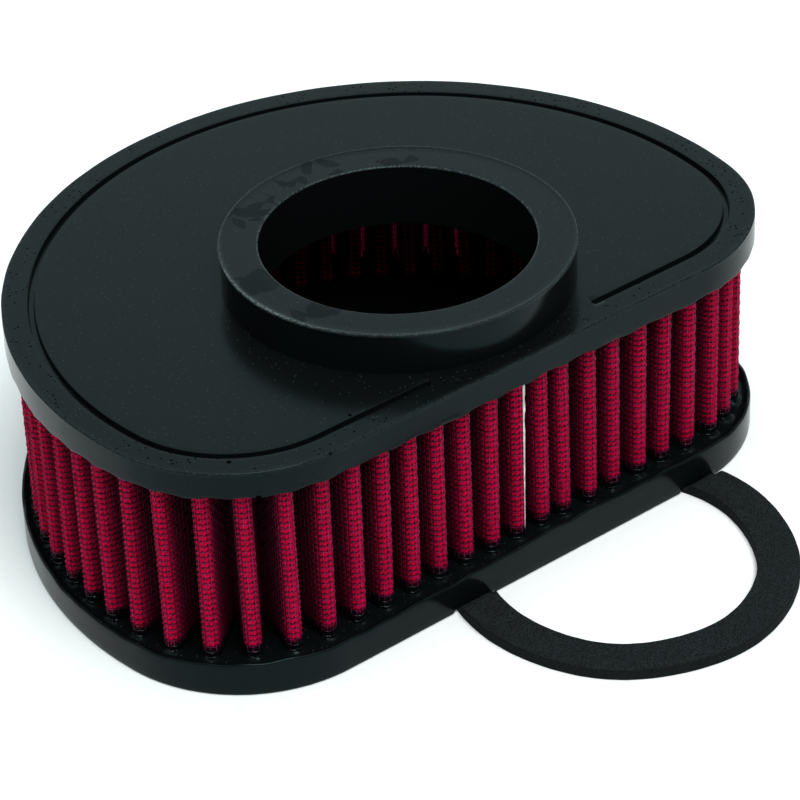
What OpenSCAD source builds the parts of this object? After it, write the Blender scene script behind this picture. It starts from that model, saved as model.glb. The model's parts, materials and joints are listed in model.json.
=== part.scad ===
// Half-moon pleated air filter element with a round neck, and its loose foam gasket.
// Millimetres, +Z up. The origin is on the closed end's flat face, on the neck's axis.
// The straight side faces -Y, and +X runs along it.

/* [Body] */
// Radius of the round side, about the neck's axis
body_r = 100.3; // [97:0.1:104]
// Distance from the neck's axis to the straight side
straight_d = 49.9; // [49:0.1:54]
// Radius of the two front corners
corner_r = 40.8; // [38:0.1:43]
// Height from the closed end's face to the top plate
body_h = 66; // [50:0.5:80]
// Rounding of the caps' outer edges
edge_r = 0.9; // [0.4:0.1:2]

/* [Top cap] */
// Height of the band round the top cap
top_band_h = 8; // [7:0.5:12]
// Thickness of the plate over the chamber
plate_t = 6.2; // [4:0.1:6.5]
// Outer radius of the neck
neck_r = 44.8; // [42:0.1:46]
// Radius of the bore
bore_r = 35; // [30:0.5:38]
// Height of the neck above the plate
neck_h = 11.4; // [6:0.2:16]
// Rounding of the neck's outer edge
neck_edge_r = 1.4; // [0.5:0.1:2]
// Rounding of the bore's mouth
mouth_edge_r = 0.6; // [0.3:0.1:1.5]

/* [Groove in the top plate] */
// Distance from the outline to the middle of the groove
groove_inset = 7.5; // [6:0.1:9]
// Width of the groove
groove_w = 1.8; // [1:0.1:2.4]
// Depth of the groove
groove_depth = 1.5; // [0.6:0.1:2.5]
// Half the gap that the groove leaves in front of the neck
groove_gap = 26; // [20:0.5:30]

/* [Bottom cap] */
// Height of the band round the bottom cap
bottom_band_h = 9; // [7:0.5:12]
// Height of the closed end's floor inside the chamber
floor_z = 15.3; // [10:0.1:18]
// Depth of the shallow relief under the straight side
relief_h = 1.3; // [1:0.1:2]

/* [Pleated media] */
// Radius of the line through the pleat tips on the round side
media_r = 97.8; // [94:0.1:98.5]
// Distance from the neck's axis to the tips on the straight side
media_d = 45.4; // [44:0.1:48]
// Corner radius of the line through the tips
media_corner_r = 37.2; // [35:0.1:40]
// Number of pleats
pleats = 61; // [50:1:64]
// Depth of a pleat from its outer tip to its inner fold
pleat_depth = 17.3; // [14:0.1:18]
// Radius of a fold, on its outer face
fold_r = 2.15; // [1.9:0.05:2.3]
// Thickness of each wire screen
screen_t = 0.42; // [0.3:0.01:0.45]
// Thickness of each ply of gauze
ply_t = 0.31; // [0.2:0.01:0.33]
// Thickness of the strip that joins the ends of the pleat pack
seam_t = 0.9; // [0.4:0.1:1]

/* [Gasket] */
// Half the gasket's width across its narrow way
gasket_a = 45.2; // [40:0.1:48]
// Half the gasket's length across its long way
gasket_b = 48; // [40:0.1:50]
// Width of the foam ring
gasket_w = 10.9; // [8:0.1:14]
// Thickness of the foam where it lies free
gasket_t = 3; // [2:0.1:4]
// Thickness of the foam where the element's edge squeezes it
gasket_pinched_t = 1; // [0.6:0.1:1.1]
// Turn of the oval, anticlockwise seen from above
gasket_turn = -14; // [-30:1:30]
// Middle of the gasket along the straight side
gasket_x = 19.2; // [10:0.1:24]
// Middle of the gasket in front of the neck's axis
gasket_y = -61.1; // [-66:0.1:-60]

/* [Hidden] */
$fn = 160;

plies = 4;
pack_t = 2 * screen_t + plies * ply_t;
pack_z0 = bottom_band_h;
pack_z1 = body_h - top_band_h;
ceiling_z = body_h - plate_t;
// The chamber's ceiling is raised inside the folds of the straight side
chamber_inset = straight_d - media_d + pleat_depth;

// Pleats are set out evenly along a line this far inside their tips
pitch_inset = 5;
// Straight facets in each fold
fold_steps = 4;
// The ends of the pack meet in the valley at this distance along the straight side
seam_x = 5;
// Share of a pleat's wall that the seam strip covers
seam_reach = 0.72;

// Room beside the gasket in the relief, and its reach behind the straight side
relief_margin = 2;
// Length of the foam's slope in front of the element's edge, and its gap to that edge
pinch_slope = 1.6;
pinch_gap = 0.4;
// Points round the gasket's oval
oval_points = 72;
// Overlap of a cutter past the face that it cuts
past = 1;

// ---- The half-moon outline: a round side, two corners and a straight side ----
// A shape is [round radius, distance to the straight side, corner radius].

body_shape = [body_r, straight_d, corner_r];
media_shape = [media_r, media_d, media_corner_r];

function inset_shape(s, i) = [s[0] - i, s[1] - i, s[2] - i];
function corner_y(s) = s[2] - s[1];
function corner_x(s) = sqrt(pow(s[0] - s[2], 2) - pow(corner_y(s), 2));
// Angle at which the round side meets the right corner, seen from the neck's axis
function meet_angle(s) = atan2(corner_y(s), corner_x(s));

// Lengths of half the straight side, one corner and the round side
function half_straight(s) = corner_x(s);
function corner_len(s) = s[2] * (meet_angle(s) + 90) * PI / 180;
function round_len(s) = s[0] * (180 - 2 * meet_angle(s)) * PI / 180;
function outline_len(s) = 2 * half_straight(s) + 2 * corner_len(s) + round_len(s);

// [centre of curvature or foot point, outward direction] at a length along the
// outline, anticlockwise from the middle of the straight side
function spot(s, at) =
    let (l1 = half_straight(s), l2 = l1 + corner_len(s), l3 = l2 + round_len(s),
         l4 = l3 + corner_len(s), deg = 180 / PI)
    at < l1 ? [[at, -s[1]], -90]
    : at < l2 ? let (a = -90 + (at - l1) / s[2] * deg)
        [[corner_x(s), corner_y(s)] + s[2] * [cos(a), sin(a)], a]
    : at < l3 ? let (a = meet_angle(s) + (at - l2) / s[0] * deg)
        [s[0] * [cos(a), sin(a)], a]
    : at < l4 ? let (a = 180 - meet_angle(s) + (at - l3) / s[2] * deg)
        [[-corner_x(s), corner_y(s)] + s[2] * [cos(a), sin(a)], a]
    : [[at - l4 - l1, -s[1]], -90];

// ---- The pleat pack ----

pitch_shape = inset_shape(media_shape, pitch_inset);
pitch_len = outline_len(pitch_shape);

// Centre of fold number i: even ones are outer tips, odd ones are inner folds
function fold_centre(i) =
    let (at = (seam_x + (i - 1) / 2 * pitch_len / pleats),
         p = spot(pitch_shape, at < 0 ? at + pitch_len : at % pitch_len),
         depth = i % 2 == 0 ? fold_r : pleat_depth - fold_r)
    p[0] + (pitch_inset - depth) * [cos(p[1]), sin(p[1])];

// Distance between the tangent points of two neighbouring folds, across the wall
fold_sum = 2 * fold_r - pack_t;
function turned(v, a) = [v[0] * cos(a) - v[1] * sin(a), v[0] * sin(a) + v[1] * cos(a)];

// Direction of the wall's face between folds i and i + 1, from an outer tip to a fold
function wall_normal(i) =
    let (outer = fold_centre(i % 2 == 0 ? i : i + 1), inner = fold_centre(i % 2 == 0 ? i + 1 : i),
         along = inner - outer, turn = acos(fold_sum / norm(along)),
         side = i % 2 == 0 ? -1 : 1)
    turned(along / norm(along), side * turn);

function fold_radius(i, t) = i % 2 == 0 ? fold_r - t : fold_r - pack_t + t;
function heading(v) = atan2(v[1], v[0]);
// An angle brought within half a turn
function wrapped(a) = a - 360 * round(a / 360);

// The points of fold i on the face that lies t below the pack's outer face
function fold_points(i, t) =
    let (sign = i % 2 == 0 ? 1 : -1,
         a0 = heading(sign * wall_normal(i - 1)),
         sweep = wrapped(heading(sign * wall_normal(i)) - a0))
    [for (k = [0 : fold_steps])
        let (a = a0 + sweep * k / fold_steps)
        fold_centre(i) + fold_radius(i, t) * [cos(a), sin(a)]];

function pack_face(t) = [for (i = [0 : 2 * pleats - 1]) each fold_points(i, t)];

// One layer of the pack, between the faces t0 and t1 below its outer face
module pack_layer(t0, t1) {
    outer = pack_face(t0);
    inner = pack_face(t1);
    n = len(outer);
    translate([0, 0, pack_z0])
        linear_extrude(pack_z1 - pack_z0)
            polygon(concat(outer, inner),
                    [[for (i = [0 : n - 1]) i], [for (i = [0 : n - 1]) n + i]]);
}

// ---- Slabs with the half-moon outline ----

// Half of a slab's section: from its axis out to its rounded edge
module slab_section(reach, h, top_r, bottom_r) {
    union() {
        translate([0, bottom_r]) square([reach, h - top_r - bottom_r]);
        if (top_r > 0) {
            translate([0, h - top_r]) square([reach - top_r, top_r]);
            intersection() {
                translate([reach - top_r, h - top_r]) circle(top_r, $fn = 48);
                translate([reach - top_r, h - top_r]) square(top_r);
            }
        }
        if (bottom_r > 0) {
            square([reach - bottom_r, bottom_r]);
            intersection() {
                translate([reach - bottom_r, bottom_r]) circle(bottom_r, $fn = 48);
                translate([reach - bottom_r, 0]) square(bottom_r);
            }
        }
    }
}

module slab(s, z0, z1, top_r = 0, bottom_r = 0) {
    cx = corner_x(s);
    // The round side meets the corners at this distance along Y
    meet_y = s[0] * sin(meet_angle(s));
    far = s[0] + past;
    h = z1 - z0;
    translate([0, 0, z0]) union() {
        intersection() {
            rotate_extrude() slab_section(s[0], h, top_r, bottom_r);
            translate([0, 0, -past]) linear_extrude(h + 2 * past)
                polygon([[-far, meet_y], [far, meet_y], [far, far], [-far, far]]);
        }
        for (side = [0, 1]) mirror([side, 0, 0]) {
            intersection() {
                translate([cx, corner_y(s), 0])
                    rotate_extrude() slab_section(s[2], h, top_r, bottom_r);
                translate([0, 0, -past]) linear_extrude(h + 2 * past)
                    polygon([[cx, -far], [far, -far], [far, meet_y], [cx, meet_y]]);
            }
            translate([0, corner_y(s), 0]) rotate([90, 0, 90])
                linear_extrude(cx) mirror([1, 0]) slab_section(s[2], h, top_r, bottom_r);
        }
    }
}

// ---- Top cap ----

module groove() {
    z0 = body_h - groove_depth;
    half_w = groove_w / 2;
    difference() {
        slab(inset_shape(body_shape, groove_inset - half_w), z0, body_h + past);
        slab(inset_shape(body_shape, groove_inset + half_w), z0 - past, body_h + 2 * past);
        translate([-groove_gap, -straight_d, z0 - past])
            cube([2 * groove_gap, 2 * groove_inset, groove_depth + 3 * past]);
    }
    for (side = [-1, 1])
        translate([side * groove_gap, groove_inset - straight_d, z0])
            cylinder(h = groove_depth + past, r = half_w, $fn = 32);
}

// Half the neck's section, standing on the plate
module neck_section() {
    wall = neck_r - bore_r;
    translate([bore_r, 0]) difference() {
        square([wall, neck_h]);
        translate([wall - neck_edge_r, neck_h - neck_edge_r]) difference() {
            square(neck_edge_r + past);
            circle(neck_edge_r, $fn = 48);
        }
        translate([-past, neck_h - mouth_edge_r]) difference() {
            square([mouth_edge_r + past, mouth_edge_r + past]);
            translate([mouth_edge_r + past, 0]) circle(mouth_edge_r, $fn = 48);
        }
    }
}

module top_end_cap() {
    color([0.10, 0.12, 0.125]) union() {
        difference() {
            slab(body_shape, pack_z1, body_h, top_r = edge_r);
            slab(inset_shape(body_shape, chamber_inset), pack_z1 - past, ceiling_z);
            translate([0, 0, pack_z1 - past])
                cylinder(h = top_band_h + 2 * past, r = bore_r);
            groove();
        }
        translate([0, 0, body_h]) rotate_extrude() neck_section();
    }
}

// ---- Bottom cap ----

module bottom_end_cap() {
    relief_x0 = gasket_x - gasket_b - relief_margin;
    relief_x1 = gasket_x + gasket_b + relief_margin;
    relief_y1 = gasket_y + gasket_b + relief_margin;
    color([0.10, 0.12, 0.125]) union() {
        difference() {
            slab(body_shape, 0, bottom_band_h, top_r = edge_r, bottom_r = edge_r);
            translate([relief_x0, -straight_d - past, -past])
                cube([relief_x1 - relief_x0, relief_y1 + straight_d + past, relief_h + past]);
        }
        translate([0, 0, bottom_band_h - past])
            linear_extrude(floor_z - bottom_band_h + past) polygon(pack_face(pack_t));
    }
}

// ---- Media ----

module outer_wire_screen() {
    color([0.72, 0.12, 0.36]) pack_layer(0, screen_t);
}

module gauze_ply(number) {
    t0 = screen_t + (number - 1) * ply_t;
    color([0.78, 0.02, 0.10]) pack_layer(t0, t0 + ply_t);
}

module inner_wire_screen() {
    color([0.72, 0.12, 0.36]) pack_layer(pack_t - screen_t, pack_t);
}

// The strip lies on the wall just before the valley at seam_x
module seam_strip() {
    n = wall_normal(0);
    start = fold_centre(0) + fold_radius(0, 0) * n;
    end = fold_centre(1) - fold_radius(1, 0) * n;
    color([0.93, 0.92, 0.90])
        translate([0, 0, pack_z0])
            linear_extrude(pack_z1 - pack_z0)
                polygon([start, start + seam_reach * (end - start),
                         start + seam_reach * (end - start) + seam_t * n, start + seam_t * n]);
}

// ---- Gasket ----

function oval(a, b) = [for (i = [0 : oval_points - 1])
    let (t = 360 * i / oval_points)
    [gasket_x, gasket_y] + turned([a * cos(t), b * sin(t)], gasket_turn)];

module foam_gasket() {
    outer = oval(gasket_a, gasket_b);
    inner = oval(gasket_a - gasket_w, gasket_b - gasket_w);
    edge_y = -straight_d - pinch_gap;
    far = gasket_b + gasket_w;
    // Side view of the foam: free in front, squeezed under the element's edge
    side = [[gasket_y - far, 0], [gasket_y + far, 0], [gasket_y + far, gasket_pinched_t],
            [edge_y, gasket_pinched_t], [edge_y - pinch_slope, gasket_t],
            [gasket_y - far, gasket_t]];
    color([0.11, 0.13, 0.14]) intersection() {
        linear_extrude(gasket_t)
            polygon(concat(outer, inner),
                    [[for (i = [0 : oval_points - 1]) i],
                     [for (i = [0 : oval_points - 1]) oval_points + i]]);
        translate([gasket_x - far, 0, 0]) rotate([90, 0, 90])
            linear_extrude(2 * far) polygon(side);
    }
}

top_end_cap();
bottom_end_cap();
outer_wire_screen();
gauze_ply(1);  // gauze_ply_1
gauze_ply(2);  // gauze_ply_2
gauze_ply(3);  // gauze_ply_3
gauze_ply(4);  // gauze_ply_4
inner_wire_screen();
seam_strip();
foam_gasket();
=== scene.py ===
"""Half-moon pleated air filter element with its loose foam gasket."""

import json
import math

import bpy
import numpy as np
from mathutils import Matrix, Vector, geometry
from mathutils.kdtree import KDTree


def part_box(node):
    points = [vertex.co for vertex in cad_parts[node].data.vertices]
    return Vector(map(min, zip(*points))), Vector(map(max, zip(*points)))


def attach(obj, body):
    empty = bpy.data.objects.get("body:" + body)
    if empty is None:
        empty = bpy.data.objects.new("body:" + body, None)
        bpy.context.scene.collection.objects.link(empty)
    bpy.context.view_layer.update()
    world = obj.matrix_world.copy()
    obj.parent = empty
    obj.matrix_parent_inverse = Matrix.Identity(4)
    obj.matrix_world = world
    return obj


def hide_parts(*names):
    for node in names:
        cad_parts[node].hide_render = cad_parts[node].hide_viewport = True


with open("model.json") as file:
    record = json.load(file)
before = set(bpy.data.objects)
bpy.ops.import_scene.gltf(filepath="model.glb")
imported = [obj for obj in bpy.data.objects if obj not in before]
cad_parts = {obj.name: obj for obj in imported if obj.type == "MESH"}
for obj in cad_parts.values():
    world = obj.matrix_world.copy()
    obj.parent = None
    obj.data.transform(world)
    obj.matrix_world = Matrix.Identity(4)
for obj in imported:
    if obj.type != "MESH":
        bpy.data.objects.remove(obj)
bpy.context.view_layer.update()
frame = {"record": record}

MM = 0.001
rng = np.random.default_rng(7)


# ---- Sizes from the frame, in millimetres ----


def box_mm(node):
    """The low and high corners of a CAD node's box."""
    low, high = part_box(node)
    return np.array(low) / MM, np.array(high) / MM


top_low, top_high = box_mm("top_end_cap")
media_low, media_high = box_mm("outer_wire_screen")
neck = next(m for m in frame["record"]["mounts"] if m["name"] == "neck_bore")

BODY_R = top_high[0]
STRAIGHT_D = -top_low[1]
NECK_TOP = top_high[2]
PACK_Z0, PACK_Z1 = media_low[2], media_high[2]
MEDIA_R = media_high[0]
MEDIA_D = -media_low[1]
BORE_R = neck["dims"]["r_mm"]

# Sizes that the frame doesn't hold, as in the CAD model
CORNER_R, MEDIA_CORNER_R = 40.8, 37.2
BODY_H = 66.0
NECK_R = 44.8
CEILING_Z = 59.8
FLOOR_Z = 15.3
GROOVE_INSET, GROOVE_W, GROOVE_DEPTH = 7.5, 1.8, 1.5
GROOVE_ENDS = (-25.1, 27.3)
PLEATS, PLEAT_DEPTH, FOLD_R = 61, 17.3, 2.15
SCREEN_T, PLY_T = 0.42, 0.31
PACK_T = 2 * SCREEN_T + 4 * PLY_T
PITCH_INSET, SEAM_X = 5.0, 5.0
GASKET_A, GASKET_B, GASKET_W, GASKET_T = 45.2, 48.0, 10.9, 3.0
GASKET_PINCHED, GASKET_TURN = 1.0, math.radians(-14)
GASKET_CENTRE = np.array([19.2, -61.1])

# The relief over the gasket: its height and its room beside the foam, under the element and at
# its edge, where it shows
RELIEF_H, RELIEF_MARGIN, EDGE_MARGIN = 1.1, 1.6, 1.1
# Radii of the plate's edge, the underside's edge and the bottom band's upper edge
EDGE_R, UNDER_R, BAND_R = 0.35, 0.6, 0.55
# The bottom band's height, and how much it rises at the middle of each side
BAND_H, BAND_RISE = 9.25, 0.75
# The urethane's surface between the pleats, and where it ends under them
POOL_Z, POOL_END = 7.6, 24.0

# Woven wire screen: pitch, wire radius and how far a wire waves over and under
MESH_PITCH, WIRE_R, CRIMP = 1.59, 0.13, 0.12
CELLS = 23  # meshes across one developed pleat
# The pressed-out cloth gets a painted highlight at this height in each mesh cell, with painted
# shade round it and most below it
DOME_TOP = 0.66  # how high in its mesh cell the pressed-out cloth is brightest
# The media reach a little into the urethane at both ends
MEDIA_LOW, MEDIA_HIGH = POOL_Z - 0.7, PACK_Z1 + 1.6


# ---- Meshes ----


def mesh_object(name, verts, faces, material, smooth_deg=40, uv=None, marks=None):
    """A mesh from points in millimetres and lists of faces. uv is per point, marks are float
    attributes per point for the material."""
    loops = [np.asarray(f, np.int32) for f in faces]
    index = np.concatenate([f.ravel() for f in loops])
    sizes = np.concatenate([np.full(len(f), f.shape[1], np.int32) for f in loops])
    mesh = bpy.data.meshes.new(name)
    mesh.vertices.add(len(verts))
    mesh.vertices.foreach_set("co", (np.asarray(verts, float) * MM).ravel())
    mesh.loops.add(len(index))
    mesh.loops.foreach_set("vertex_index", index)
    mesh.polygons.add(len(sizes))
    mesh.polygons.foreach_set("loop_start", np.concatenate([[0], np.cumsum(sizes)[:-1]]))
    mesh.update(calc_edges=True)
    mesh.validate()
    mesh.polygons.foreach_set("use_smooth", np.ones(len(mesh.polygons), bool))
    mesh.set_sharp_from_angle(angle=math.radians(smooth_deg))
    if uv is not None:
        layer = mesh.uv_layers.new(name="cloth")
        layer.data.foreach_set("uv", np.asarray(uv, float)[index].ravel())
    for key, values in (marks or {}).items():
        mark = mesh.attributes.new(key, "FLOAT", "POINT")
        mark.data.foreach_set("value", np.asarray(values, np.float32))
    mesh.materials.append(material)
    obj = bpy.data.objects.new(name, mesh)
    bpy.context.scene.collection.objects.link(obj)
    return obj


def grid_faces(rows, columns, closed=True, first=0):
    """Quads between neighbouring rows of points, round a closed loop or along an open line."""
    n = columns if closed else columns - 1
    r, c = np.meshgrid(np.arange(rows - 1), np.arange(n), indexing="ij")
    a = r * columns + c
    b = r * columns + (c + 1) % columns
    return np.stack([a, b, b + columns, a + columns], -1).reshape(-1, 4) + first


def shell(rings):
    """Points and faces of a closed skin through rings of equal size, first to last to first."""
    rings = np.asarray(rings)
    count, n = rings.shape[:2]
    looped = np.concatenate([rings, rings[:1]])
    faces = grid_faces(count + 1, n) % (count * n)
    return looped[:-1].reshape(-1, 3), faces


def lidded(rings):
    """Points and faces of a closed skin through rings of equal size, with a flat lid on the
    first and the last. The rings run anticlockwise seen from above, from low to high."""
    rings = np.asarray(rings)
    count, n = rings.shape[:2]
    sides = grid_faces(count, n)
    low, high = (
        np.array(geometry.tessellate_polygon([[Vector(p) for p in end]]), np.int32)
        for end in (rings[0], rings[-1])
    )
    if triangle_turn(rings[0], low[0]) > 0:
        low = low[:, ::-1]
    if triangle_turn(rings[-1], high[0]) < 0:
        high = high[:, ::-1]
    return rings.reshape(-1, 3), [sides, low, high + (count - 1) * n]


def triangle_turn(points, corners):
    """More than 0 for a triangle whose corners run anticlockwise seen from above."""
    a, b, c = points[corners][:, :2]
    return (b[0] - a[0]) * (c[1] - a[1]) - (b[1] - a[1]) * (c[0] - a[0])


def weighted_normals(obj):
    """Keeps flat faces flat beside their rounded edges."""
    mod = obj.modifiers.new("weighted", "WEIGHTED_NORMAL")
    mod.keep_sharp = True


# ---- The half-moon outline ----


class HalfMoon:
    """A round side of radius r, two corners and a straight side at -d, anticlockwise from the
    middle of the straight side."""

    def __init__(self, r, d, corner):
        cy = corner - d
        cx = math.sqrt((r - corner) ** 2 - cy**2)
        meet = math.atan2(cy, cx)
        parts = [cx, corner * (meet + math.pi / 2), r * (math.pi - 2 * meet)]
        self.ends = np.cumsum([0, parts[0], parts[1], parts[2], parts[1], parts[0]])
        self.length = self.ends[-1]
        self.d, self.cx = d, cx
        self.arcs = [
            (corner, (cx, cy), -math.pi / 2),
            (r, (0, 0), meet),
            (corner, (-cx, cy), math.pi - meet),
        ]

    def at(self, s):
        """Points and outward directions at lengths along the outline."""
        s = np.asarray(s, float) % self.length
        seg = np.clip(np.searchsorted(self.ends, s, side="right") - 1, 0, 4)
        point = np.stack([np.where(seg == 4, s - self.length, s), np.full_like(s, -self.d)], -1)
        angle = np.full_like(s, -math.pi / 2)
        for k, (radius, centre, start) in enumerate(self.arcs, 1):
            here = seg == k
            angle[here] = start + (s[here] - self.ends[k]) / radius
            ray = np.stack([np.cos(angle[here]), np.sin(angle[here])], -1)
            point[here] = np.array(centre) + radius * ray
        return point, np.stack([np.cos(angle), np.sin(angle)], -1)


body = HalfMoon(BODY_R, STRAIGHT_D, CORNER_R)
pitch_line = HalfMoon(
    MEDIA_R - PITCH_INSET, MEDIA_D - PITCH_INSET, MEDIA_CORNER_R - PITCH_INSET
)


def ripple(s, period, waves, size):
    """A gentle random wave that closes on itself."""
    total = np.zeros_like(s)
    for k in waves:
        total += np.cos(2 * math.pi * k * s / period + rng.uniform(0, 2 * math.pi)) / math.sqrt(k)
    return size * total / math.sqrt(sum(1 / k for k in waves) / 2)


# ---- The pleat pack ----


def heading(v):
    """The angle of directions, from +X."""
    return np.arctan2(v[..., 1], v[..., 0])


def turned(v, a):
    """Points or directions turned by an angle about the origin."""
    c, s = np.cos(a), np.sin(a)
    return np.stack([v[..., 0] * c - v[..., 1] * s, v[..., 0] * s + v[..., 1] * c], -1)


def fold_places(shift, pull):
    """Centres of the folds, even ones outer tips and odd ones inner folds."""
    i = np.arange(2 * PLEATS)
    at = SEAM_X + (i - 1) / 2 * pitch_line.length / PLEATS + shift
    point, out = pitch_line.at(at)
    depth = np.where(i % 2 == 0, FOLD_R, PLEAT_DEPTH - FOLD_R) + pull
    return point + (PITCH_INSET - depth)[:, None] * out


def pack_line(shift, pull):
    """The pack's outer face as one line per pleat, from the middle of one inner fold to the
    middle of the next: points, outward directions and how the length runs on a wire's line."""
    centre = fold_places(shift, pull)
    even = np.arange(2 * PLEATS) % 2 == 0
    after = np.roll(centre, -1, 0)
    tip = np.where(even[:, None], centre, after)
    fold = np.where(even[:, None], after, centre)
    along = fold - tip
    size = np.linalg.norm(along, axis=1)
    lean = np.arccos((2 * FOLD_R - PACK_T) / size) * np.where(even, -1, 1)
    wall = turned(along / size[:, None], lean)
    sign = np.where(even, 1, -1)[:, None]
    start = heading(sign * np.roll(wall, 1, 0))
    sweep = (heading(sign * wall) - start + math.pi) % (2 * math.pi) - math.pi
    radius = np.where(even, FOLD_R, FOLD_R - PACK_T)
    lines = []
    for tip_i in range(0, 2 * PLEATS, 2):
        points, normals = [], []
        # Half of the fold before, the whole tip and half of the fold after
        for i, low, high, steps in (
            (tip_i - 1, 0.5, 1, 4),
            (tip_i, 0, 1, 20),
            ((tip_i + 1) % (2 * PLEATS), 0, 0.5, 4),
        ):
            a = start[i] + sweep[i] * np.linspace(low, high, steps + 1)
            ray = np.stack([np.cos(a), np.sin(a)], -1)
            points.append(centre[i] + radius[i] * ray)
            normals.append(ray * (1 if i % 2 == 0 else -1))
        points, normals = np.concatenate(points), np.concatenate(normals)
        middle = points - SCREEN_T / 2 * normals
        run = np.concatenate([[0], np.cumsum(np.linalg.norm(np.diff(middle, axis=0), axis=1))])
        lines.append((points, normals, run))
    return lines


def sample_line(lines, shares):
    """Points and outward directions at shares of each pleat's length."""
    points, normals = [], []
    for p, n, run in lines:
        at = shares * run[-1]
        points.append(np.stack([np.interp(at, run, p[:, k]) for k in (0, 1)], -1))
        normals.append(np.stack([np.interp(at, run, n[:, k]) for k in (0, 1)], -1))
    normals = np.concatenate(normals)
    return np.concatenate(points), normals / np.linalg.norm(normals, axis=1)[:, None]


# Pleats folded by hand are a little uneven: past the seam they stand closer to it, and round
# the left corner they are spread out. At these pleats, counted from the seam, they are this
# far from their even places, in millimetres.
CROWDED_PLEATS = (0, 1, 2, 8, 10, 44, 52, 56, 61)
CROWDED_BY = (0, -0.4, -2.2, -2.3, -4.0, -6.6, -0.9, 0.9, 0)
crowding = np.interp(np.arange(2 * PLEATS) / 2, CROWDED_PLEATS, CROWDED_BY)
uneven = crowding + rng.normal(0, 0.15, 2 * PLEATS)
leaning = rng.normal(0, 0.30, 2 * PLEATS)
pulled = rng.normal(0, 0.15, 2 * PLEATS)
foot_line = pack_line(uneven - leaning / 2, pulled)
head_line = pack_line(uneven + leaning / 2, pulled + rng.normal(0, 0.1, 2 * PLEATS))


def pack_points(shares, z, depth):
    """Points of the pack at each height z and each share of every pleat, as rows by z.
    depth is how far below the outer face, one number or an array of rows by columns."""
    foot, foot_n = sample_line(foot_line, shares)
    head, head_n = sample_line(head_line, shares)
    t = ((z - PACK_Z0) / (PACK_Z1 - PACK_Z0))[:, None, None]
    flat = foot + (head - foot) * t
    normal = foot_n + (head_n - foot_n) * t
    flat = flat - np.asarray(depth)[..., None] * normal
    return np.concatenate([flat, np.broadcast_to(z[:, None, None], flat.shape[:2] + (1,))], -1)


def in_valley(shares):
    """0 on the crest of a pleat and 1 down in the valleys beside it, where the cloth and wires
    get painted shade.
    """
    crest, slope = 0.025, 0.17
    t = np.clip((np.abs(shares - 0.5) - crest) / slope, 0, 1)
    return 1 - (1 - t) ** 2


# ---- Wires ----


def tubes(lines, valley, closed, sides=3):
    """Points, faces and valley marks of wires along equal rows of points. A wire is too fine to
    need more than three sides, which smooth shading makes round."""
    count, n = lines.shape[:2]
    if closed:
        along = np.roll(lines, -1, 1) - np.roll(lines, 1, 1)
    else:
        along = np.gradient(lines, axis=1)
    along /= np.linalg.norm(along, axis=2, keepdims=True)
    side = np.cross(along, [0.0, 0.0, 1.0]) if closed else np.cross(along, [1.0, 0.3, 0.0])
    side /= np.linalg.norm(side, axis=2, keepdims=True)
    other = np.cross(along, side)
    angles = 2 * math.pi * np.arange(sides) / sides + math.pi / 2
    skin = (
        lines[:, :, None, :]
        + WIRE_R * np.cos(angles)[:, None] * side[:, :, None, :]
        + WIRE_R * np.sin(angles)[:, None] * other[:, :, None, :]
    )
    w, p, k = np.meshgrid(
        np.arange(count), np.arange(n if closed else n - 1), np.arange(sides), indexing="ij"
    )

    def point(pp, kk):
        return (w * n + pp % n) * sides + kk % sides

    faces = np.stack([point(p, k), point(p + 1, k), point(p + 1, k + 1), point(p, k + 1)], -1)
    marks = {"valley": np.repeat(np.broadcast_to(valley, lines.shape[:2]).ravel(), sides)}
    return skin.reshape(-1, 3), faces.reshape(-1, 4), marks


def crimped_wires(low, depth, crimp, extra):
    """The wires across and the upright wires of a woven screen over the whole pack, from the
    height low up. extra is how many more points a wire across has on each side of a tip."""
    z = np.arange(low, MEDIA_HIGH, MESH_PITCH)
    crossings = (np.arange(CELLS) + 0.5) / CELLS
    # A wire across has a point at every crossing, and between crossings where the tip curves
    middle = np.arange(CELLS // 2 - extra, CELLS // 2 + extra) + 1.0
    shares = np.sort(np.concatenate([crossings, middle / CELLS]))
    number = shares * CELLS - 0.5
    over = np.where(np.abs(number - np.round(number)) < 0.01, 1.0, 0.0)
    turn = np.where(np.round(number).astype(int) % 2 == 0, 1.0, -1.0) * over
    # CELLS is odd, so every second pleat starts the other way up
    turn = np.concatenate([turn * (1 if p % 2 == 0 else -1) for p in range(PLEATS)])
    up = np.where(np.arange(len(z)) % 2 == 0, 1.0, -1.0)
    # The upright wires stand a little prouder than the ones across
    proud = 0.6 * crimp
    weft = pack_points(shares, z, depth + proud - crimp * up[:, None] * turn[None, :])
    cross_turn = np.concatenate(
        [np.where((np.arange(CELLS) + p) % 2 == 0, 1.0, -1.0) for p in range(PLEATS)]
    )
    waves = crimp * up[:, None] * cross_turn[None, :]
    warp = pack_points(crossings, z, depth - proud + waves)
    weft_valley = np.tile(in_valley(shares), PLEATS)
    warp_valley = np.tile(in_valley(crossings), PLEATS)[:, None]
    return (
        tubes(weft, weft_valley, True),
        tubes(warp.transpose(1, 0, 2), warp_valley, False),
    )


# ---- Materials ----


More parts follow.
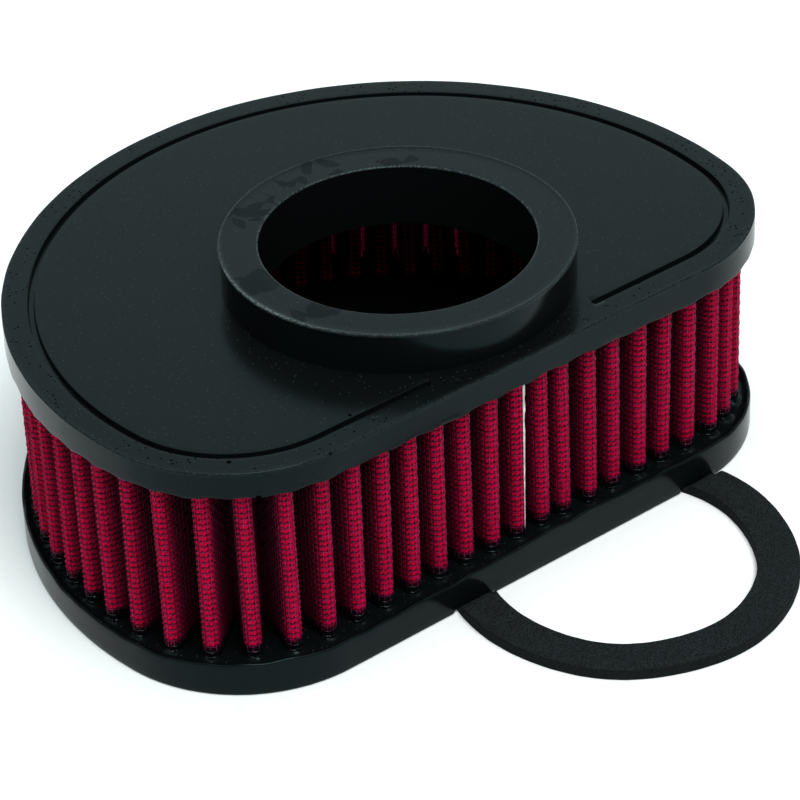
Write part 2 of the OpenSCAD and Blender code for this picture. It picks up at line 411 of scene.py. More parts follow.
class Graph:
    """A short way to write a node material."""

    def __init__(self, name):
        self.material = bpy.data.materials.new(name)
        self.material.use_nodes = True
        self.tree = self.material.node_tree
        self.tree.nodes.clear()

    def node(self, kind, inputs=None, out=0, **props):
        """A new node's output socket. inputs are sockets to link or plain values."""
        made = self.tree.nodes.new("ShaderNode" + kind)
        for key, value in props.items():
            setattr(made, key, value)
        for key, value in (inputs or {}).items():
            if isinstance(value, bpy.types.NodeSocket):
                self.tree.links.new(value, made.inputs[key])
            else:
                made.inputs[key].default_value = value
        return made.outputs[out] if made.outputs else None

    def math(self, operation, a, b=0.0):
        """A sum, product or the like of two sockets or numbers."""
        return self.node("Math", {0: a, 1: b}, operation=operation)

    def mix(self, share, a, b):
        """a where share is 0 and b where it is 1."""
        made = self.tree.nodes.new("ShaderNodeMix")
        made.data_type = "RGBA"
        for socket, value in ((made.inputs[0], share), (made.inputs[6], a), (made.inputs[7], b)):
            if isinstance(value, bpy.types.NodeSocket):
                self.tree.links.new(value, socket)
            else:
                socket.default_value = value if not isinstance(value, tuple) else (*value, 1.0)
        return made.outputs[2]

    def step(self, value, low, high, to_low=0.0, to_high=1.0):
        """A smooth step of value from low to high."""
        ends = {"From Min": low, "From Max": high, "To Min": to_low, "To Max": to_high}
        return self.node("MapRange", {"Value": value, **ends}, interpolation_type="SMOOTHSTEP")

    def place(self):
        """The point's place on the object, in metres."""
        return self.node("TexCoord", out="Object")

    def height(self):
        """The point's height on the object, in metres."""
        return self.node("SeparateXYZ", {0: self.place()}, out="Z")

    def facing_up(self):
        """1 on a surface that faces straight up and 0 on an upright one."""
        return self.node("SeparateXYZ", {0: self.node("NewGeometry", out="Normal")}, out="Z")

    def noise(self, scale, detail=2.0, rough=0.5):
        """Smooth noise from 0 to 1 over the object. scale is in lumps to a metre."""
        inputs = {"Vector": self.place(), "Scale": scale, "Detail": detail, "Roughness": rough}
        return self.node("TexNoise", inputs)

    def cells(self, scale):
        """A Voronoi texture's node, for both its distance and its cells' random colours."""
        made = self.tree.nodes.new("ShaderNodeTexVoronoi")
        made.inputs["Scale"].default_value = scale
        self.tree.links.new(self.place(), made.inputs["Vector"])
        return made

    def dots(self, scale, radius, share):
        """Random round spots: 1 inside a spot, on that share of the cells."""
        cell = self.cells(scale)
        near = self.math("LESS_THAN", cell.outputs["Distance"], radius * scale)
        chance = self.node("SeparateColor", {"Color": cell.outputs["Color"]})
        return self.math("MULTIPLY", near, self.math("LESS_THAN", chance, share))

    def spots(self, vector, places):
        """1 inside any of the balls at these places, each with its radius, in metres."""
        total = None
        for *centre, radius in places:
            ends = {0: vector, 1: tuple(centre)}
            far = self.node("VectorMath", ends, out="Value", operation="DISTANCE")
            inside = self.math("LESS_THAN", far, radius)
            total = inside if total is None else self.math("MAXIMUM", total, inside)
        return total

    def mark(self, name):
        """A float attribute of the mesh."""
        return self.node("Attribute", out="Fac", attribute_name=name)

    def bump(self, height, strength, distance, normal=None):
        """A normal bumped by a height, on top of another one if it is given."""
        inputs = {"Height": height, "Strength": strength, "Distance": distance}
        if normal is not None:
            inputs["Normal"] = normal
        return self.node("Bump", inputs)

    def surface(self, inputs):
        """Ends the material with a plain Principled shader."""
        shader = self.node("BsdfPrincipled", inputs)
        self.node("OutputMaterial", {"Surface": shader})
        return self.material


URETHANE = (0.0026, 0.0036, 0.0038)
URETHANE_TINT = (0.60, 0.96, 1.0, 1.0)
# Burst bubbles on the top cap's rim and band: place and radius, in millimetres
BUBBLES = (
    (-81.4, -36.7, BODY_H, 0.60),
    (-74.0, -39.0, BODY_H, 0.35),
    (-53.7, -42.8, BODY_H, 0.35),
    (-48.2, -40.5, BODY_H, 0.50),
    (-61.3, -49.7, BODY_H - 0.2, 0.50),
    (-79.1, -44.4, PACK_Z1 + 0.6, 0.80),
)

# Dull patches on the neck's face: place and radius, in millimetres
SMUDGES = (
    (-18, 35, 5.5),
    (-4, 38, 3.0),
    (9, 38.5, 4.5),
    (23, 31, 3.0),
    (-41, 5, 5.5),
    (-36, -12, 4.5),
)


def bubbles(g):
    """1 inside each burst bubble."""
    return g.spots(g.place(), [[v * MM for v in bubble] for bubble in BUBBLES])


def smudges(g):
    """1 inside each dull, angular patch that handling left on the neck's face."""
    # Every small cell is shifted by a random step of its own, which makes round patches angular
    step = 7.0
    shifted = g.node(
        "VectorMath",
        {0: g.cells(150.0).outputs["Color"], 1: (step * MM, step * MM, 0.0), 2: g.place()},
        operation="MULTIPLY_ADD",
    )
    places = [(x + step / 2, y + step / 2, NECK_TOP, radius) for x, y, radius in SMUDGES]
    return g.spots(shifted, [[v * MM for v in place] for place in places])


def urethane():
    """Black moulded urethane: fine grain, dust specks, pinholes darkened with painted shade, dull
    smudges and pale scuffs on the edges."""
    g = Graph("black_urethane")
    gloss = 0.15
    # How strongly it mirrors: clean, and how much more on the neck's face and less in a smudge
    mirror, face_mirror, smudge_mirror = 0.106, 0.026, 0.065
    cloudy = g.noise(35, 4)
    grain = g.noise(1800, 2)
    clusters = g.step(g.noise(60, 2), 0.44, 0.50, 0.05, 1.0)
    pinholes = g.math("MULTIPLY", g.dots(700, 0.30 * MM, 0.8), clusters)
    pits = g.math("MAXIMUM", g.math("MULTIPLY", pinholes, g.mark("pits")), bubbles(g))
    settled = g.step(g.facing_up(), 0.5, 0.95, 0.12, 1.0)
    dust = g.math("MULTIPLY", g.dots(800, 0.14 * MM, 0.7), settled)
    face = g.mark("neck_face")
    smudge = g.math("MULTIPLY", smudges(g), face)
    scuff = g.mark("scuff")
    worn = g.math("MULTIPLY", scuff, g.step(g.noise(2200, 4, rough=0.7), 0.40, 0.62))
    # Pinholes and burst bubbles are painted near-black: painted shade inside them
    color = g.mix(pits, URETHANE, (0.001, 0.001, 0.001))
    color = g.mix(g.math("MULTIPLY", dust, 0.32), color, (0.10, 0.13, 0.13))
    color = g.mix(g.math("MULTIPLY", worn, 0.8), color, (0.20, 0.25, 0.25))
    rough = g.step(cloudy, 0.3, 0.7, gloss, gloss + 0.10)
    rough = g.math("ADD", rough, g.math("MULTIPLY", scuff, 0.22))
    rough = g.math("ADD", rough, g.math("MULTIPLY", smudge, 0.12))
    normal = g.bump(grain, 0.05, 0.1 * MM)
    normal = g.bump(g.math("SUBTRACT", 1.0, pits), 0.6, 0.3 * MM, normal)
    level = g.math("ADD", mirror, g.math("MULTIPLY", face, face_mirror))
    level = g.math("MULTIPLY", g.math("SUBTRACT", 1.0, pits), level)
    level = g.math("SUBTRACT", level, g.math("MULTIPLY", smudge, smudge_mirror))
    return g.surface(
        {
            "Base Color": color,
            "Roughness": rough,
            "Normal": normal,
            "Specular IOR Level": level,
            "Specular Tint": URETHANE_TINT,
        }
    )


def cloth_cell(g):
    """How far a point is from the top of its mesh cell's dome, which sits above the middle, in
    shares of a mesh, from the cloth's own measure. The gauze paints shade by it: dark round the
    dome's top and most below it."""
    uv = g.node("UVMap", uv_map="cloth")
    cell = g.node("VectorMath", {0: uv}, operation="FRACTION")
    off = g.node("VectorMath", {0: cell, 1: (0.5, DOME_TOP, 0.0)}, operation="SUBTRACT")
    wide = g.node("VectorMath", {0: off, 1: (0.62, 1.0, 0.0)}, operation="MULTIPLY")
    return uv, g.node("VectorMath", {0: wide}, out="Value", operation="LENGTH")


def wicked(g, rise=0.0):
    """1 where urethane has crept into the pleats' ends, and 0 on clean cloth. It rises that
    many millimetres further up what soaks it up."""
    creep = g.math("MULTIPLY", g.noise(260, 3), 3.0 * MM)
    low = g.math("SUBTRACT", g.height(), creep)
    foot = g.step(low, (POOL_Z + 0.7 + rise) * MM, (POOL_Z + 2.2 + rise) * MM, 1.0, 0.0)
    high = g.math("ADD", g.height(), creep)
    head = g.step(high, (PACK_Z1 - 1.0) * MM, (PACK_Z1 + 1.0) * MM)
    return g.math("MAXIMUM", foot, head)


def gauze(name, thin, clean, through, valley_shade):
    """Oiled red cotton gauze. Stretched over a pleat's crest, it lets a share of the light
    through, thin, in the colour through. clean is how bright it stays against oil and dust, and
    valley_shade is how dark the painted shade in its valleys is."""
    g = Graph(name)
    uv, far = cloth_cell(g)
    threads = g.node(
        "TexWave",
        {"Vector": uv, "Scale": 1.6, "Distortion": 1.5, "Detail": 2.0},
        wave_type="BANDS",
        bands_direction="X",
    )
    fluff = g.noise(2600, 3)
    valley = g.mark("valley")
    color = g.mix(
        g.step(fluff, 0.3, 0.7),
        tuple(clean * c for c in (0.60, 0.0, 0.030)),
        tuple(clean * c for c in (0.90, 0.0, 0.055)),
    )
    # Painted shade: the cloth darkens away from each dome's top, most in a dark arc below it, as
    # light from above would leave it
    color = g.mix(g.step(far, 0.33, 0.52, 0.0, 0.98), color, (0.008, 0.0, 0.0025))
    # Painted shade deep in the pleats' valleys
    color = g.mix(g.math("MULTIPLY", valley, valley_shade), color, (0.010, 0.001, 0.004))
    black = wicked(g, 1.2)
    color = g.mix(black, color, URETHANE)
    normal = g.bump(g.math("ADD", fluff, threads), 0.5, 0.12 * MM)
    cloth = g.node(
        "BsdfPrincipled",
        {
            "Base Color": color,
            "Roughness": g.math("SUBTRACT", 0.62, g.math("MULTIPLY", black, 0.45)),
            "Normal": normal,
            "Specular IOR Level": 0.12,
            "Specular Tint": (1.0, 0.3, 0.5, 1.0),
        },
    )
    glow = g.node("BsdfTranslucent", {"Color": (*through, 1.0), "Normal": normal})
    shut = g.math("MAXIMUM", black, valley)
    share = g.math("MULTIPLY", g.math("SUBTRACT", 1.0, shut), thin)
    g.node("OutputMaterial", {"Surface": g.node("MixShader", {0: share, 1: cloth, 2: glow})})
    return g.material


def coated_wire(name, valley_shade):
    """Fine wire with a stained, slightly worn coat. valley_shade is how dark the painted shade in
    the valleys is.
    """
    g = Graph(name)
    wear = g.step(g.noise(700, 4), 0.35, 0.75)
    color = g.mix(wear, (0.08, 0.003, 0.022), (0.34, 0.017, 0.12))
    # Painted shade deep in the pleats' valleys
    color = g.mix(g.math("MULTIPLY", g.mark("valley"), valley_shade), color, (0.018, 0.001, 0.006))
    black = wicked(g)
    color = g.mix(black, color, URETHANE)
    return g.surface(
        {
            "Base Color": color,
            "Roughness": g.math("SUBTRACT", 0.38, g.math("MULTIPLY", black, 0.30)),
            "Specular IOR Level": g.math("ADD", 0.30, g.math("MULTIPLY", black, 0.70)),
            "Specular Tint": g.mix(black, (1.0, 0.45, 0.75), (0.85, 1.0, 1.0)),
            "Normal": g.bump(g.noise(5000, 2), 0.2, 0.05 * MM),
        }
    )


def seam_glue():
    """White glued strip, a little uneven."""
    g = Graph("white_seam")
    lumps = g.noise(500, 3)
    color = g.mix(g.step(lumps, 0.35, 0.7), (0.50, 0.44, 0.43), (0.75, 0.73, 0.70))
    color = g.mix(wicked(g), color, URETHANE)
    return g.surface(
        {"Base Color": color, "Roughness": 0.45, "Normal": g.bump(lumps, 0.4, 0.4 * MM)}
    )


def foam():
    """Fine open-cell charcoal foam, punched out with a die. Its upright sides get painted shade,
    darker than its faces.
    """
    g = Graph("charcoal_foam")
    cells = g.cells(2300.0).outputs["Distance"]
    soft = g.noise(700, 4)
    patch = g.noise(45, 3)
    color = g.mix(g.step(cells, 0.25, 0.62), (0.0010, 0.0014, 0.0015), (0.0125, 0.0175, 0.0185))
    color = g.mix(g.step(patch, 0.35, 0.75, 0.0, 0.35), color, (0.006, 0.0085, 0.009))
    # Painted shade on the upright sides, which face away from the light above
    upright_shade = g.step(g.facing_up(), 0.4, 0.98, 0.65, 0.0)
    color = g.mix(upright_shade, color, (0.002, 0.003, 0.003))
    normal = g.bump(g.math("ADD", cells, soft), 0.7, 0.5 * MM)
    return g.surface(
        {
            "Base Color": color,
            "Roughness": 0.92,
            "Normal": normal,
            "Specular IOR Level": 0.12,
        }
    )


def paper():
    """The floor's pale paper."""
    g = Graph("pale_floor")
    shade = g.mix(g.noise(3, 2), (0.905, 0.935, 0.932), (0.925, 0.95, 0.948))
    return g.surface({"Base Color": shade, "Roughness": 0.9, "Specular IOR Level": 0.1})


cap_material = urethane()


# ---- End caps ----


def outline_lengths(step, fine_at=(), fine=0.12, reach=3.0):
    """Lengths along the body's outline, closer together near the given ones."""
    s = np.linspace(0, body.length, int(body.length / step), endpoint=False)
    for at in fine_at:
        s = np.concatenate([s, (at + np.arange(-reach, reach, fine)) % body.length])
    return np.unique(np.round(s, 3))


def ring(s, inset, z):
    """The outline moved inwards, at a height. inset and z are numbers or one for each point."""
    point, out = body.at(s)
    flat = point - np.broadcast_to(inset, s.shape)[:, None] * out
    return np.column_stack([flat, np.broadcast_to(z, s.shape)])


def circle_ring(s, radius, z):
    """A circle about the neck's axis, with its points in line with the outline's."""
    point, _ = body.at(s)
    a = np.arctan2(point[:, 1], point[:, 0])
    return np.column_stack([radius * np.cos(a), radius * np.sin(a), np.full(len(s), z)])


def clear_of_bore(points):
    """Pushes points that lie inside the neck's bore out to its wall."""
    far = np.hypot(points[:, 0], points[:, 1])
    points[:, :2] *= np.maximum(1, (BORE_R + 0.1) / far)[:, None]
    return points


def quarter(steps):
    """Angles over a quarter turn, for a rounded edge."""
    return np.linspace(0, math.pi / 2, steps + 1)


def pleat_scallop(s):
    """1 at each pleat's tip along the outline, where the urethane sags, and 0 between tips."""
    reach = 2.2
    tips, _ = pitch_line.at(SEAM_X + (np.arange(PLEATS) - 0.5) * pitch_line.length / PLEATS)
    angles = np.sort(np.arctan2(tips[:, 1], tips[:, 0]))
    point, _ = body.at(s)
    a = np.arctan2(point[:, 1], point[:, 0])
    gap = np.min(np.abs((a[:, None] - angles[None, :] + math.pi) % (2 * math.pi) - math.pi), 1)
    return np.exp(-((gap * np.linalg.norm(point, axis=1) / reach) ** 2))


def top_cap():
    """The plate with its band, groove and neck. Its rings start at the bore's foot, go out under
    the plate, up the band and back over the face."""
    s = outline_lengths(0.75, GROOVE_ENDS)
    x = np.where(s > body.length / 2, s - body.length, s)
    lower = (
        PACK_Z1
        + 0.3
        + ripple(s, body.length, (2, 3, 5, 9), 0.35)
        + ripple(s, body.length, (23, 31, 47), 0.12)
        - 0.45 * pleat_scallop(s)
    )
    wobble = ripple(s, body.length, (11, 17, 29, 41), 0.04)
    # Half the groove's width, running out round at its two ends
    run_out = np.where(x < 0, GROOVE_ENDS[0] - x, x - GROOVE_ENDS[1])
    share = np.clip(run_out / (GROOVE_W / 2), 0, 1)
    half = np.maximum(GROOVE_W / 2 * np.sqrt(1 - (1 - share) ** 2), 0.03)
    depth = GROOVE_DEPTH * np.clip(3 * share, 0, 1)

    rings, pits, scuff = [], [], []

    def add(points, pit=0.0, worn=0.0):
        """Adds a ring, with how pitted and how worn the urethane is there."""
        rings.append(points)
        pits.append(np.full(len(s), pit))
        scuff.append(np.full(len(s), worn))

    # The ceiling, and the urethane that the pleats' heads stand in
    recess = STRAIGHT_D - MEDIA_D + PLEAT_DEPTH
    add(circle_ring(s, BORE_R + 0.1, CEILING_Z))
    add(clear_of_bore(ring(s, recess, CEILING_Z)))
    add(clear_of_bore(ring(s, recess, PACK_Z1 + 0.6)))
    for inset in (14, 9, 5, 3, 1.6):
        add(ring(s, inset, (lower + 0.9) if inset < 4 else PACK_Z1 + 1.0))
    # The band: its lower edge, its side and its upper edge
    for a in quarter(4):
        add(ring(s, 0.7 - 0.7 * np.sin(a), lower + 0.5 - 0.5 * np.cos(a)), 0.25)
    for z in np.linspace(PACK_Z1 + 2.2, BODY_H - EDGE_R - 0.8, 4):
        add(ring(s, 0.5 * wobble, z), 0.25)
    for k, a in enumerate(quarter(6)):
        inset = EDGE_R * (1 - np.cos(a)) + wobble
        worn = 0.10 if k in (3, 4) else 0.05
        add(ring(s, inset, BODY_H - EDGE_R * (1 - np.sin(a))), 0.5, worn)
    # The face, with the groove in it
    for inset in (1.6, 3.2, 5.2):
        add(ring(s, inset, BODY_H), 1.0)
    outer, inner = GROOVE_INSET - half, GROOVE_INSET + half
    soft = np.minimum(0.15, half)
    for inset, drop, pit in (
        (outer - 0.18, 0.0, 1.0),
        (outer - 0.04, 0.05 * depth, 0.5),
        (outer + 0.2 * soft, 0.25 * depth, 0),
        (outer + 0.6 * soft, 0.85 * depth, 0),
        (outer + 2.0 * soft, depth, 0),
        (inner - 2.0 * soft, depth, 0),
        (inner - 0.6 * soft, 0.85 * depth, 0),
        (inner - 0.2 * soft, 0.25 * depth, 0),
        (inner + 0.04, 0.05 * depth, 0.2),
        (inner + 0.18, 0.0, 0.1),
    ):
        add(ring(s, inset, BODY_H - drop), pit)
    add(ring(s, 10.6, BODY_H), 0.05)
    add(circle_ring(s, BORE_R + 1.5, BODY_H))
    verts, faces = shell(rings)

    neck_verts, neck_faces, neck_scuff = neck_shell()
    verts_all = np.concatenate([verts, neck_verts])
    obj = mesh_object(
        "top_cap_moulding",
        verts_all,
        [faces, neck_faces + len(verts)],
        cap_material,
        marks={
            "pits": np.concatenate([np.concatenate(pits), np.zeros(len(neck_verts))]),
            "scuff": np.concatenate([np.concatenate(scuff), neck_scuff]),
            "neck_face": verts_all[:, 2] > NECK_TOP - 0.3,
        },
    )
    weighted_normals(obj)
    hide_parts("top_end_cap")
    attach(obj, "element")


def neck_shell():
    """The neck, turned about its axis, with a lip that stands a little out over its wall."""
    rim_r = NECK_R + 0.4
    # The lip's overhang, the rim's and the mouth's edge radii, and the rim's height over the face
    lip, edge_r, mouth_r, bead = 0.35, 0.35, 0.6, 0.22
    wall_r, hidden_r = rim_r - lip, BORE_R + 2.0
    face_z, lip_z, foot_z = NECK_TOP - bead, NECK_TOP - edge_r, BODY_H - 1.0
    # Radius, height and wear round the section. Wear on the mouth's edge is below 0: it is
    # alike all round, and the rim's is worst on one side
    profile = [(BORE_R, CEILING_Z + 0.5, 0)]
    for a in quarter(5):
        at = (BORE_R + mouth_r * (1 - math.cos(a)), face_z - mouth_r * (1 - math.sin(a)))
        profile.append((*at, -0.30 if 0.4 < a < 1.3 else 0.02))
    profile += [(BORE_R + 2.5, face_z, 0), (rim_r - 3.0, face_z, 0), (rim_r - 1.3, face_z, 0)]
    profile += [(rim_r - 0.75, face_z + 0.6 * bead, 0.2)]
    for a in quarter(6)[::-1]:
        at = (rim_r - edge_r * (1 - math.cos(a)), NECK_TOP - edge_r * (1 - math.sin(a)))
        profile.append((*at, 1.0 if 0.1 < a < 1.5 else 0.7))
    profile += [
        (rim_r, lip_z - 0.5, 0.1),
        (wall_r, lip_z - 0.75, 0),
        (wall_r, BODY_H + 3.0, 0),
        (wall_r, foot_z, 0),
        (hidden_r, foot_z, 0),
        (hidden_r, CEILING_Z, 0),
        (BORE_R + 0.5, CEILING_Z, 0),
    ]
    steps = 288
    a = 2 * math.pi * np.arange(steps) / steps
    wobble = 1 + 0.0006 * np.cos(3 * a + 1.0) + 0.0003 * np.cos(7 * a)
    rings = [
        np.column_stack([r * wobble * np.cos(a), r * wobble * np.sin(a), np.full(steps, z)])
        for r, z, _ in profile
    ]
    verts, faces = shell(rings)
    worst_side = math.radians(180)
    worn_side = 0.15 + 0.85 * np.clip(np.cos(a - worst_side), 0, 1) ** 10
    scuff = np.concatenate([np.maximum(worn * worn_side, -worn) for _, _, worn in profile])
    return verts, faces[:, ::-1], scuff


def pack_tree():
    """Nearest points on the pack's outer face at its foot, for the urethane that creeps up it."""
    points, _ = sample_line(foot_line, np.linspace(0, 1, 90, endpoint=False))
    tree = KDTree(len(points))
    for i, p in enumerate(points):
        tree.insert((*p, 0), i)
    tree.balance()
    return tree


def over_gasket(points, margin):
    """Lifts points of the underside that lie over the loose gasket or that close beside it."""
    slope = 0.6 * margin
    flat = turned(points[:, :2] - GASKET_CENTRE, -GASKET_TURN)
    radii = np.array([GASKET_A, GASKET_B])
    outer = 1 - np.linalg.norm(flat / (radii + margin), axis=1)
    inner = np.linalg.norm(flat / (radii - GASKET_W - margin), axis=1) - 1
    inside = np.clip(np.minimum(outer, inner) * GASKET_A / slope, 0, 1)
    lifted = points.copy()
    lifted[:, 2] += RELIEF_H * inside
    return lifted


def bottom_cap():
    """The closed end: underside, band, the pool between the pleats, and the chamber's floor."""
    s = outline_lengths(0.5)
    band = (
        BAND_H
        + BAND_RISE * np.cos(2 * math.pi * (s / body.length - 0.5) * 2)
        + ripple(s, body.length, (3, 5, 8, 13), 0.35)
        + ripple(s, body.length, (29, 43, 61), 0.14)
    )
    pool = POOL_Z + ripple(s, body.length, (4, 7), 0.1)
    wobble = ripple(s, body.length, (9, 15, 37), 0.04)
    # Underneath it is flat, but for the relief that the squeezed gasket lies in
    insets = np.arange(39.0, 1.0, -1.0)
    rings = [over_gasket(ring(s, inset, 0.0), RELIEF_MARGIN) for inset in insets]
    for a in quarter(4):
        edge = ring(s, UNDER_R * (1 - np.sin(a)), UNDER_R * (1 - np.cos(a)))
        rings.append(over_gasket(edge, EDGE_MARGIN))
    for share in (0.25, 0.5, 0.75):
        rings.append(ring(s, 0.5 * wobble, UNDER_R + share * (band - 1.4)))
    for a in quarter(6):
        inset = BAND_R * (1 - np.cos(a)) + wobble
        rings.append(ring(s, inset, band - BAND_R * (1 - np.sin(a))))
    # Inside the band the urethane falls to the pool that the pleats stand in
    for inset, share in ((0.9, 0.12), (1.2, 0.35), (1.55, 0.62), (2.0, 0.85), (2.5, 0.96)):
        rings.append(ring(s, inset, band + (pool - band) * share))
    tree = pack_tree()
    first = len(rings)
    for inset in np.concatenate([np.arange(3.0, 9.0, 0.5), np.arange(9.0, 21.0, 1.5)]):
        rings.append(ring(s, inset, pool))
    rings.append(ring(s, POOL_END, pool))
    # The pool creeps up the pleats that stand in it
    creep, reach = 0.9, 0.40
    for r in rings[first:-1]:
        near = np.array([tree.find((x, y, 0))[2] for x, y, _ in r])
        r[:, 2] += creep * np.exp(-near / reach)
    # The closed end's floor fills the inside of the pack
    points, normals = sample_line(foot_line, np.linspace(0, 1, 24, endpoint=False))
    inside = points - (PACK_T - 0.1) * normals
    floor_rings = [np.column_stack([inside, np.full(len(inside), z)]) for z in (5.0, FLOOR_Z)]
    verts, faces = lidded(rings)
    floor_verts, floor_faces = lidded(floor_rings)
    obj = mesh_object(
        "bottom_cap_moulding",
        np.concatenate([verts, floor_verts]),
        faces + [f + len(verts) for f in floor_faces],
        cap_material,
        marks={"pits": np.full(len(verts) + len(floor_verts), 0.15)},
    )
    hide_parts("bottom_end_cap")
    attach(obj, "element")


top_cap()
bottom_cap()


# ---- Media ----


def media_piece(name, skin, material, node, uv=None):
    """A piece of the pack from its points, faces and marks."""
    verts, faces, marks = skin
    obj = mesh_object(name, verts, [faces], material, smooth_deg=180, uv=uv, marks=marks)
    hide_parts(node)
    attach(obj, "element")
    return obj


def gauze_ply(number, depth, material, bulge=0.0, per_cell=1):
    """A ply of gauze, pressed out between the wires by bulge, with per_cell points to a mesh
    each way."""
    rows = np.arange(MEDIA_LOW, MEDIA_HIGH, MESH_PITCH)
    steps = np.arange(0, (len(rows) - 1) * per_cell + 1) / per_cell
    z = rows[0] + steps * MESH_PITCH
    shares = np.sort((np.arange(CELLS * per_cell) / per_cell + 0.5) / CELLS % 1)
    across = np.sin(math.pi * ((shares * CELLS - 0.5) % 1.0))
    up = np.sin(math.pi * (steps % 1.0))
    hill = np.tile(across, PLEATS)[None, :] ** 0.8 * up[:, None] ** 0.8
    points = pack_points(shares, z, depth - bulge * hill)
    measure = (np.arange(PLEATS)[:, None] * CELLS + shares[None, :] * CELLS - 0.5).ravel()
    uv = np.stack(np.broadcast_arrays(measure[None, :], steps[:, None]), -1)
    valley = np.tile(in_valley(shares), PLEATS * len(z))
    skin = (points.reshape(-1, 3), grid_faces(len(z), len(measure)), {"valley": valley})
    node = f"gauze_ply_{number}"
    obj = media_piece(f"{node}_cloth", skin, material, node, uv.reshape(-1, 2))


def woven_screen(side, low, depth, crimp, material, extra=0):
    """A screen as two pieces: the wires across, or weft, and the upright ones, or warp."""
    skins = crimped_wires(low, depth, crimp, extra)
    for way, skin in zip(("weft", "warp"), skins):
        name = f"{side}_screen_{way}"
        media_piece(name, skin, material, f"{side}_wire_screen")


RED_GLOW, PALE_GLOW = (0.95, 0.05, 0.50), (0.95, 0.40, 0.70)
# The last number of each is how dark the painted shade in its valleys is
outer_gauze = gauze("outer_gauze", 0.30, 1.0, RED_GLOW, 0.93)
middle_gauze = gauze("middle_gauze", 0.86, 1.0, PALE_GLOW, 0.93)
inner_gauze = gauze("inner_gauze", 0.86, 0.90, PALE_GLOW, 0.20)
# How deep each ply lies under the pack's outer face
gauze_ply(1, 0.60, outer_gauze, bulge=0.78, per_cell=2)
for ply, ply_depth, ply_gauze in (
    (2, 0.80, middle_gauze),
    (3, 0.95, middle_gauze),
    (4, 1.10, inner_gauze),
):
    gauze_ply(ply, ply_depth, ply_gauze)

# The number given to each wire is how dark the painted shade in its valleys is
outer_wire = coated_wire("outer_wire", 0.90)
woven_screen("outer", MEDIA_LOW, SCREEN_T / 2, CRIMP, outer_wire, extra=2)
woven_screen("inner", FLOOR_Z - 1.0, 1.35, 0.0, coated_wire("inner_wire", 0.35))


def seam():
    """The glued strip beside the crest of the tip left of the seam, thinner towards its foot."""
    z = np.linspace(MEDIA_LOW, MEDIA_HIGH, 90)
    shares = np.array([0.534, 0.539, 0.546, 0.553, 0.560, 0.567, 0.572])
    line = pack_points(shares, z, -0.05)[:, : len(shares)]
    edge = np.array([0.0, 0.25, 0.36, 0.40, 0.36, 0.25, 0.0])
    thin = np.linspace(0.15, 1.0, len(z)) ** 0.7
    uneven_glue = np.convolve(rng.normal(0, 1, len(z) + 4), np.ones(5) / 2.2, "valid")
    lumpy = thin * (1 + 0.18 * uneven_glue)
    normal = pack_points(shares, z, -1.05)[:, : len(shares)] - line
    skin = line + normal * (edge[None, :] * lumpy[:, None])[..., None]
    rows, columns = skin.shape[:2]
    back = line - 0.1 * normal
    verts = np.concatenate([skin, back[:, ::-1]], 1)
    obj = mesh_object(
        "seam_strip_glue",
        verts.reshape(-1, 3),
        [grid_faces(rows, 2 * columns)],
        seam_glue(),
        smooth_deg=60,
    )
    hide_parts("seam_strip")
    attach(obj, "element")


seam()


# ---- Foam gasket ----


def gasket():
    """The foam ring, squeezed where it lies under the element's straight edge."""
    n = 720
    # It starts to be squeezed this far in front of the edge, and thins over this distance
    ahead, ramp = 2.6, 2.4
    a = 2 * math.pi * np.arange(n) / n
    jitter = ripple(a, 2 * math.pi, (3, 5, 8), 0.18) + ripple(a, 2 * math.pi, (31, 47), 0.015)

    def oval(inset):
        """The ring's ragged outline, moved inwards."""
        flat = np.stack([(GASKET_A - inset) * np.cos(a), (GASKET_B - inset) * np.sin(a)], -1)
        out = flat / np.linalg.norm(flat, axis=1)[:, None]
        flat = flat + jitter[:, None] * out
        return GASKET_CENTRE + turned(flat, GASKET_TURN)

    section = [(0.0, 0.35), (0.0, 0.85), (0.25, 0.98), (0.8, 1.0)]
    inner = [(GASKET_W - i, t) for i, t in section[::-1]]
    rings = []
    for inset, share in (
        section
        + [(GASKET_W * k / 6, 1.0) for k in (1, 2, 3, 4, 5)]
        + inner
        + [(GASKET_W, 0.05), (GASKET_W - 0.3, 0.0)]
        + [(GASKET_W * k / 4, 0.0) for k in (3, 2, 1)]
        + [(0.3, 0.0), (0.0, 0.05)]
    ):
        flat = oval(inset)
        squeezed = np.clip((flat[:, 1] + STRAIGHT_D + ahead) / ramp, 0, 1)
        squeezed = squeezed * squeezed * (3 - 2 * squeezed)
        thick = GASKET_T + (GASKET_PINCHED - GASKET_T) * squeezed
        rings.append(np.column_stack([flat, share * thick]))
    verts, faces = shell(rings)
    obj = mesh_object("foam_gasket_pad", verts, [faces], foam(), smooth_deg=50)
    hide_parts("foam_gasket")
    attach(obj, "gasket")


gasket()


# ---- Floor, light and camera ----


def floor():
    """A wide sheet of paper, a hair under the closed end's face."""
    size, z = 4000.0, -0.02
    verts = [(-size, -size, z), (size, -size, z), (size, size, z), (-size, size, z)]
    obj = mesh_object("floor", verts, [np.array([[0, 1, 2, 3]])], paper())


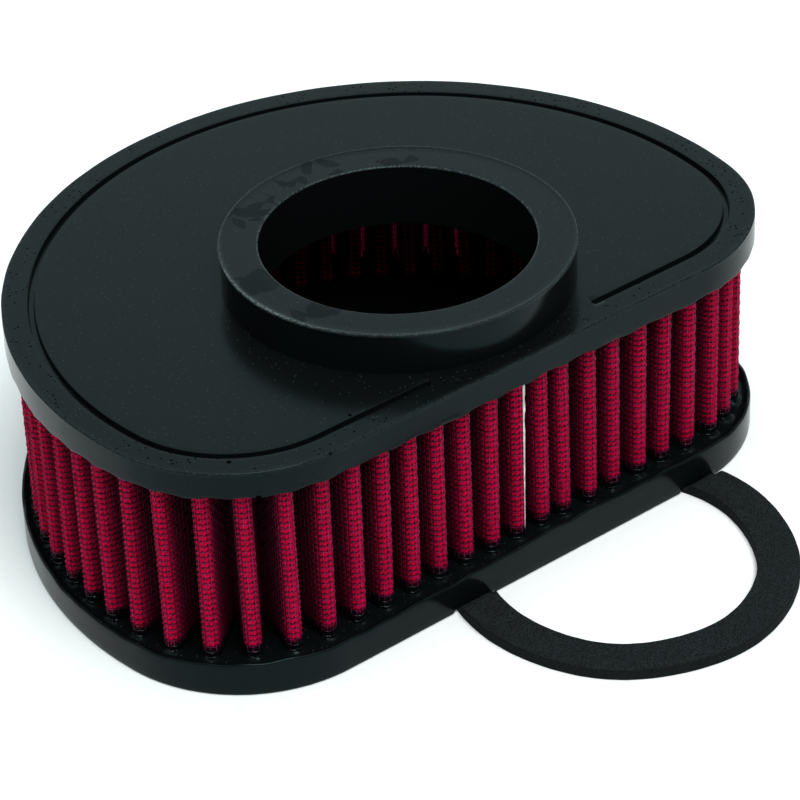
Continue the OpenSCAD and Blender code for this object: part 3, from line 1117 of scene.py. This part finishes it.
def softbox(name, azimuth, elevation, distance, size, watts, color=(1, 1, 1)):
    """A square lamp that looks at the object's middle."""
    az, el = math.radians(azimuth), math.radians(elevation)
    away = Vector((math.sin(az) * math.cos(el), -math.cos(az) * math.cos(el), math.sin(el)))
    lamp = bpy.data.lights.new(name, "AREA")
    lamp.shape, lamp.size, lamp.energy = "SQUARE", size, watts
    lamp.color = color
    obj = bpy.data.objects.new(name, lamp)
    obj.location = Vector((0, 0.01, 0.03)) + away * distance
    obj.rotation_euler = away.to_track_quat("Z", "Y").to_euler()
    bpy.context.scene.collection.objects.link(obj)


def studio():
    """A pale sky and four large lamps: azimuth, elevation, distance, size and power."""
    world = bpy.data.worlds.new("studio")
    world.use_nodes = True
    sky = world.node_tree.nodes["Background"].inputs
    sky[0].default_value = (0.85, 0.98, 1.0, 1.0)
    sky[1].default_value = 0.42
    bpy.context.scene.world = world
    softbox("key", -15, 58, 2.6, 1.5, 52)
    softbox("top", 60, 84, 2.8, 2.4, 30)
    softbox("backdrop", 142, 36, 3.0, 3.0, 12.6, (0.78, 0.99, 1.0))
    softbox("fill", -105, 40, 3.0, 2.0, 8, (0.90, 1.0, 1.0))
    bpy.context.scene.view_settings.view_transform = "Standard"


def camera():
    """The photograph's angle: azimuth from -Y, elevation and a slight roll, in degrees."""
    azimuth, elevation, roll = (math.radians(v) for v in (-37.97, 34.20, -2.28))
    look_at, distance = Vector((-2.7, -1.8, 30.0)) * MM, 0.923
    back = Vector(
        (
            math.sin(azimuth) * math.cos(elevation),
            -math.cos(azimuth) * math.cos(elevation),
            math.sin(elevation),
        )
    )
    right = Vector((math.cos(azimuth), math.sin(azimuth), 0))
    up = back.cross(right)
    right, up = (
        right * math.cos(roll) + up * math.sin(roll),
        up * math.cos(roll) - right * math.sin(roll),
    )
    cam = bpy.data.cameras.new("camera")
    # The fitted focal length, in pixels of the photo's width
    focal, width = 3590, 800
    cam.sensor_width, cam.lens = 36.0, 36.0 * focal / width
    cam.clip_start, cam.clip_end = 0.05, 20
    obj = bpy.data.objects.new("camera", cam)
    obj.matrix_world = Matrix.Translation(look_at + back * distance) @ Matrix(
        (right, up, back)
    ).transposed().to_4x4()
    bpy.context.scene.collection.objects.link(obj)
    bpy.context.scene.camera = obj


floor()
studio()
camera()
